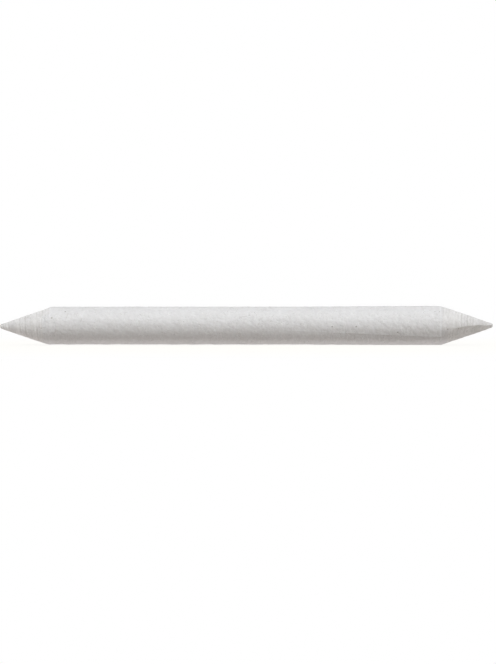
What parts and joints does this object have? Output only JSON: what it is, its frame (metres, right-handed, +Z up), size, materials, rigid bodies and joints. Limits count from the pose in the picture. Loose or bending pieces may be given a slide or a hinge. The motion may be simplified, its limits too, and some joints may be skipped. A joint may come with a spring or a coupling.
{
  "type": "blending stump",
  "caption": "Double-ended blending stump of tightly wound, pasted felt paper, sanded to a blunt point at each end, for smudging pencil, charcoal and pastel.",
  "frame": {"origin": "on the surface that the stump lies on, under the middle of its length", "axes": "+X along the roll's axis towards the slightly sharper and longer point, +Z up"},
  "size_m": [0.14, 0.011, 0.011],
  "materials": {
    "felt_paper": "matt, slightly fibrous",
    "cover_felt_paper": "matt, pressed and sanded",
    "paste": "dried starch paste in paper"
  },
  "bodies": {
    "root": {"core_roll": "felt_paper", "felt_ply_01": "felt_paper", "felt_ply_02": "felt_paper", "felt_ply_03": "felt_paper", "felt_ply_04": "felt_paper", "felt_ply_05": "felt_paper", "felt_ply_06": "felt_paper", "felt_ply_07": "felt_paper", "felt_ply_08": "felt_paper", "felt_ply_09": "felt_paper", "cover_sheet": "cover_felt_paper", "lap_paste": "paste"}
  },
  "joints": []
}
